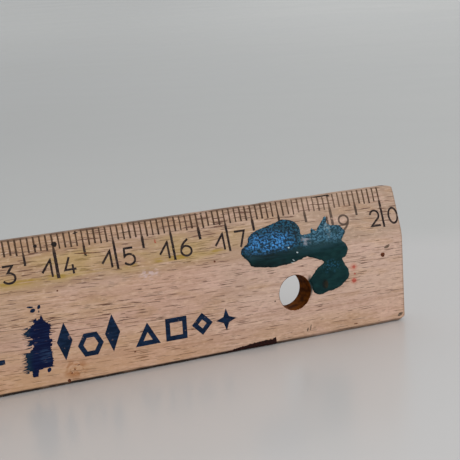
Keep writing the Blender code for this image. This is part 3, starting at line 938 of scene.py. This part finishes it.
def add_dirt_and_contact_shade(look):
    """The dirt of years: in patches, along both long edges and in smudges; the lower edge's dark band is
    partly painted contact shade.
    """
    patches = look.noise((16, 16, 7), seed=11, detail=4.0)
    look.lay((160, 132, 114), look.span(patches, 0.52, 0.72, 0.0, 0.35))
    look.lay((190, 145, 103), look.times(look.span(look.x, 172, 150), look.span(look.z, 9.0, 2.0)), 0.35)
    grime_and_shade_noise = look.noise((2.5, 2.5, 1.2), seed=12, detail=4.0)
    top = look.times(look.span(look.z, 23.55, 23.85), look.span(grime_and_shade_noise, 0.3, 0.62, 0.35, 0.95))
    look.lay((92, 66, 48), look.times(top, look.span(look.x, 172, 192, 1.0, 0.45)))
    # Painted contact shade with some dirt: a dark band along the lower edge, where the ruler meets the table.
    bottom = look.times(look.span(look.z, 0.6, 0.35), look.span(grime_and_shade_noise, 0.35, 0.5, 0.8, 1.0))
    look.lay((38, 25, 18), look.times(bottom, look.span(look.x, 172, 190, 1.0, 0.6)))
    where_smudged = look.span(look.noise((30, 20, 12), seed=13), 0.45, 0.6)
    look.lay((120, 96, 80), look.times(look.span(grime_and_shade_noise, 0.60, 0.74), where_smudged), 0.4)


def add_stains(look):
    """A brown spill by the lower edge, rims round the red spots and the paint, and a scuff."""
    spill = look.span(look.noise((0.9, 0.8, 0.5), seed=17), 0.40, 0.60)
    look.lay((150, 94, 48), look.times(look.near(141.3, 2.3, 2.7, 2.0), spill), 0.75)
    halo = look.sum(look.near(193.1, 11.1, 1.0, 0.9), look.near(193.1, 8.7, 0.9, 0.8))
    look.lay((186, 110, 90), halo, 0.5)
    look.lay((4, 34, 37), look.near(184.35, 9.1, 0.7, 2.3))
    scuff = look.span(look.noise((0.8, 0.6, 0.3), seed=18), 0.40, 0.60)
    look.lay((202, 184, 190), look.times(look.near(155.1, 15.7, 2.3, 1.2), scuff), 0.45)


def add_varnish(look):
    """Yellowed varnish: a wide tinge on the bevel, and thicker streaks under the numerals."""
    front = look.span(look.y, 1.0, 0.5)
    tinge = look.times(look.band(look.z, 16.6, 21.0, 0.7), look.band(look.x, 122.0, 172.0, 6.0))
    tinge = look.times(look.times(tinge, front), look.span(look.noise((9, 6, 3), seed=16), 0.35, 0.62))
    look.lay((172, 146, 84), tinge, 0.45)
    streaks = look.fibres((4.0, 3.0, 0.22), seed=14, detail=3.0)
    varnish = look.times(look.band(look.z, 17.15, 17.85, 0.25), look.band(look.x, 127.0, 168.5, 1.5))
    thick = look.span(look.noise((3.5, 4.0, 4.0), seed=15), 0.40, 0.62, 0.1, 1.0)
    varnish = look.times(look.times(varnish, thick), look.span(streaks, 0.36, 0.54))
    look.lay((148, 118, 38), look.times(varnish, front), 0.9)


def worn_wood(look):
    """Lays the beech with all its dirt, stains, varnish and painted shade, and returns its flecks and its
    threads.
    """
    flecks, threads = wood_layers(look)
    add_dirt_and_contact_shade(look)
    add_stains(look)
    add_varnish(look)
    return flecks, threads


def wood_look():
    look = Look("worn_beech")
    flecks, threads = worn_wood(look)
    pores = look.fibres((0.9, 0.4, 0.07), seed=22)
    height = look.sum(look.times(flecks, -1.0), look.sum(look.times(threads, 0.5), look.times(pores, 0.35)))
    roughness = look.span(look.noise((3, 3, 1), seed=23, detail=3.0), 0.3, 0.7, 0.46, 0.64)
    return look.finish(look.colour, roughness, height, 0.03, specular=0.3)


def bore_look():
    """The drilled wall of the hole: end grain painted a deep dark brown, with painted shade for the bore's
    hollow.
    """
    look = Look("dark_bore")
    patches = look.noise((1.2, 1.4, 0.8), seed=21, detail=3.0)
    # Painted shade: the bore's wall is laid much darker than the wood.
    colour = look.mix(look.span(patches, 0.35, 0.65), seen(62, 27, 1), seen(102, 53, 6))
    return look.finish(colour, 0.8, patches, 0.03, specular=0.05)


def ink_look(name, dark, light, gaps, roughness):
    """Old printing ink: two tones of it, worn through to the wood in places.

    The gaps are the noise levels above which the wood shows, for the faintest print and the strongest.
    """
    look = Look(name)
    flecks, threads = worn_wood(look)
    wood = look.colour
    tone = look.span(look.noise((1.4, 1.0, 0.35), seed=31, detail=3.0), 0.35, 0.68)
    look.colour = look.mix(tone, dark, light)
    look.lay((88, 66, 48), look.span(look.z, 20.6, 22.6, 0.0, 0.65))
    ink = look.mix(look.times(look.band(look.x, 183.0, 196.0, 4.0), 0.22), look.colour, wood)
    worn = look.sum(look.noise((0.9, 0.8, 0.8), seed=32, detail=3.0), look.times(flecks, 0.06))
    strength = look.add_many("Attribute", {}, attribute_name="ink")[2]
    limit = look.sum(look.times(strength, gaps[1] - gaps[0]), gaps[0])
    colour = look.mix(look.span(look.less(worn, limit), -0.05, 0.10, 1.0, 0.25), wood, ink)
    return look.finish(colour, roughness, threads, 0.012)


def smear_look():
    """Navy ink with the brush's streaks in it, greener where it is thin."""
    look = Look("smeared_navy")
    wood_layers(look)
    wood = look.colour
    streaks = look.noise((2.4, 1.0, 0.16), seed=41, detail=3.0)
    look.colour = look.mix(look.span(streaks, 0.46, 0.70), seen(2, 11, 46), seen(14, 30, 64))
    swirl = look.times(look.near(136.6, 5.6, 1.3, 1.8), look.span(streaks, 0.45, 0.6))
    look.lay((46, 68, 98), swirl, 0.5)
    left = look.sum(look.x, look.noise((1.2, 1.0, 1.0), seed=42, detail=3.0))
    thin = look.sum(look.span(left, 135.3, 134.1), look.span(look.z, 11.5, 13.0, 0.0, 0.5))
    look.lay((18, 50, 60), thin, 0.5)
    gaps = look.noise((1.5, 1.0, 0.12), seed=43)
    colour = look.mix(look.span(gaps, 0.68, 0.76, 0.0, 0.5), look.colour, wood)
    return look.finish(colour, 0.5, streaks)


def smooth_paint(look):
    """Dark teal, in pools, lighter to the right."""
    pools = look.span(look.noise((1.8, 1.4, 0.8), seed=51, detail=6.0), 0.35, 0.68)
    left = look.mix(pools, seen(1, 22, 25), seen(7, 37, 39))
    right = look.mix(pools, seen(2, 34, 36), seen(12, 47, 48))
    return look.mix(look.span(look.x, 177, 188), left, right)


def bevel_paint_and_reflection(look, specks, smooth):
    """Speckled blue that is painted reflection off the lumpy paint, with a painted glint at the left, duller
    at the right, and smooth patches in it.
    """
    where_glints = look.span(look.noise((1.6, 1.0, 1.0), seed=55), 0.3, 0.6)
    glint = look.times(look.near(177.0, 17.3, 6.2, 2.9), where_glints)
    bright = look.mix(glint, seen(22, 74, 98), seen(66, 138, 202))
    dark = look.mix(glint, seen(2, 24, 34), seen(8, 42, 68))
    blue = look.mix(look.span(specks, 0.43, 0.60), dark, bright)
    dull = look.mix(look.span(specks, 0.40, 0.64), seen(8, 46, 60), seen(66, 110, 132))
    colour = look.mix(look.span(look.x, 182.2, 184.2), blue, dull)
    patches = look.noise((2.4, 2.0, 1.2), seed=54, detail=3.0)
    return look.mix(look.span(patches, 0.5, 0.66, 0.0, 0.55), colour, smooth)


def paint_look():
    """Teal paint: dark and smooth below, lumpy where it dried on the bevel, and there speckled blue as
    painted reflection.
    """
    look = Look("dried_teal")
    specks = look.noise((0.36, 0.32, 0.28), seed=52, detail=6.0)
    smooth = smooth_paint(look)
    rough = bevel_paint_and_reflection(look, specks, smooth)
    crossing = look.sum(look.z, look.times(look.noise((1.2, 1.0, 0.6), seed=53), 0.9))
    sheen = look.span(look.noise((5, 3, 0.5), seed=56), 0.35, 0.6)
    sheen = look.times(look.band(crossing, 15.4, 16.5, 0.5), sheen)
    smooth = look.mix(look.times(sheen, 0.5), smooth, seen(32, 62, 72))
    # Painted reflection: above the crease the paint turns to speckled blue.
    look.colour = look.mix(look.span(crossing, 15.9, 17.6), smooth, rough)
    # Painted highlights: fine blue sparkles on the paint's leg.
    sparkle_highlights = look.times(look.near(188.6, 12.0, 2.4, 1.5), look.span(specks, 0.50, 0.62))
    look.lay((34, 86, 112), sparkle_highlights, 0.6)

    pit_x, pit_z = PAINT_PIT
    look.lay((8, 18, 17), look.near(pit_x, pit_z, 0.75, 1.15))
    look.lay((38, 36, 27), look.near(pit_x + 0.3, pit_z - 0.1, 0.45, 0.9))
    rubbed = look.span(look.noise((0.7, 0.6, 0.45), seed=57, detail=3.0), 0.38, 0.62)
    look.lay((134, 134, 142), look.times(look.near(184.1, 17.0, 1.2, 0.95), rubbed), 0.85)
    look.lay((134, 152, 156), look.times(look.near(188.6, 18.2, 0.75, 1.6), rubbed), 0.65)
    return look.finish(look.colour, look.span(crossing, 15.8, 17.0, 0.34, 0.4), specks)


def speck_look(name, dark, light, roughness=0.5):
    look = Look(name)
    grains = look.noise((0.3, 0.3, 0.2), seed=61, detail=3.0)
    colour = look.mix(look.span(grains, 0.35, 0.65), dark, light)
    return look.finish(colour, roughness, grains)


# The studio


def floor_look():
    """A pale satin table top, a little darker past a soft step behind the ruler and lighter far off as
    painted light, with painted shade towards the left, more so behind the ruler.
    """
    look = Look("pale_table")
    turn = radians(TABLE_TURN)
    ahead = look.sum(look.times(look.x, sin(turn)), look.times(look.y, cos(turn)))
    across = look.sum(look.times(look.x, cos(turn)), look.times(look.y, -sin(turn)))
    colour = look.mix(look.span(ahead, 138, 172), seen(208, 205, 203, 1.0), seen(199, 198, 195, 1.0))
    # Painted light: the table grows lighter far off.
    colour = look.mix(look.span(ahead, 250, 1500), colour, seen(226, 225, 221, 1.0))
    # Painted shade: darker towards the left, more so behind the ruler.
    behind = look.span(ahead, 120, 420, 0.10, 0.24)
    shade = look.times(look.span(across, 330, 0), behind)
    colour = look.mix(shade, colour, (0.0, 0.0, 0.0, 1.0))
    roughness = look.span(look.noise((120, 120, 120), seed=71, detail=3.0), 0.3, 0.7, 0.20, 0.25)
    return look.finish(colour, roughness, specular=0.4)


def build_floor():
    mesh = bpy.data.meshes.new("floor")
    corners = ((-1, -1), (1, -1), (1, 1), (-1, 1))
    points = [(FLOOR_HALF * x, FLOOR_HALF * y, FLOOR_HEIGHT) for x, y in corners]
    mesh.from_pydata(points, [], [(0, 1, 2, 3)])
    mesh.materials.append(floor_look())
    add_object("floor", mesh)


def add_lamp(name, kind, energy, shines_from):
    lamp = add_object(name, bpy.data.lights.new(name, kind))
    lamp.data.energy = energy
    lamp.rotation_euler = Vector(shines_from).to_track_quat("Z", "Y").to_euler()
    return lamp


def build_studio():
    """The floor, a softbox in front, and a very wide sun, as even as a bright ceiling."""
    build_floor()
    at = Vector((0.55, -0.95, 0.62))
    softbox = add_lamp("front_softbox", "AREA", 5.4, at - Vector((0.03, 0.0, 0.012)))
    softbox.location = at
    softbox.data.shape = "RECTANGLE"
    softbox.data.size, softbox.data.size_y = 1.1, 0.8
    add_lamp("soft_sun", "SUN", 0.85, (0.35, 0.4, 1.0)).data.angle = radians(80)
    world = bpy.data.worlds.new("studio")
    world.use_nodes = True
    background = world.node_tree.nodes["Background"]
    background.inputs["Color"].default_value = (0.95, 0.98, 1.0, 1.0)
    background.inputs["Strength"].default_value = 0.47
    bpy.context.scene.world = world
    bpy.context.scene.view_settings.view_transform = "Standard"


def build_camera():
    data = bpy.data.cameras.new("camera")
    data.sensor_width = 36.0
    data.lens = CAMERA_LENS
    data.clip_start = 0.01
    data.clip_end = 50.0
    camera = add_object("camera", data)
    turn = Matrix.Rotation(radians(-CAMERA_YAW), 4, "Z")
    tip = Matrix.Rotation(radians(90 - CAMERA_PITCH), 4, "X")
    roll = Matrix.Rotation(radians(-CAMERA_ROLL), 4, "Z")
    camera.matrix_world = Matrix.Translation(CAMERA_AT) @ turn @ tip @ roll
    bpy.context.scene.camera = camera


def main():
    build_camera()
    build_studio()
    build_wood(wood_look(), bore_look())
    black = ink_look("worn_black_ink", seen(26, 21, 23), seen(56, 46, 42), (0.56, 0.74), 0.7)
    navy = ink_look("printed_navy_ink", seen(4, 22, 44), seen(18, 38, 64), (0.68, 0.68), 0.6)
    build_graduations(black)
    build_numerals(black)
    build_ornaments(navy)
    build_smear(smear_look())
    build_paint(paint_look())
    build_edge_stain(speck_look("dark_maroon_stain", seen(16, 5, 4), seen(46, 16, 13), 0.5))
    build_all_marks(
        speck_look("black_mark", seen(12, 9, 9), seen(36, 27, 23)),
        ink_look("red_mark", seen(152, 44, 34), seen(184, 96, 80), (0.52, 0.52), 0.6),
        speck_look("brown_mark", seen(58, 24, 10), seen(108, 62, 40)),
        speck_look("white_mark", seen(110, 134, 142), seen(186, 198, 200)),
        speck_look("pencil_mark", seen(74, 60, 50), seen(122, 102, 86)))


main()
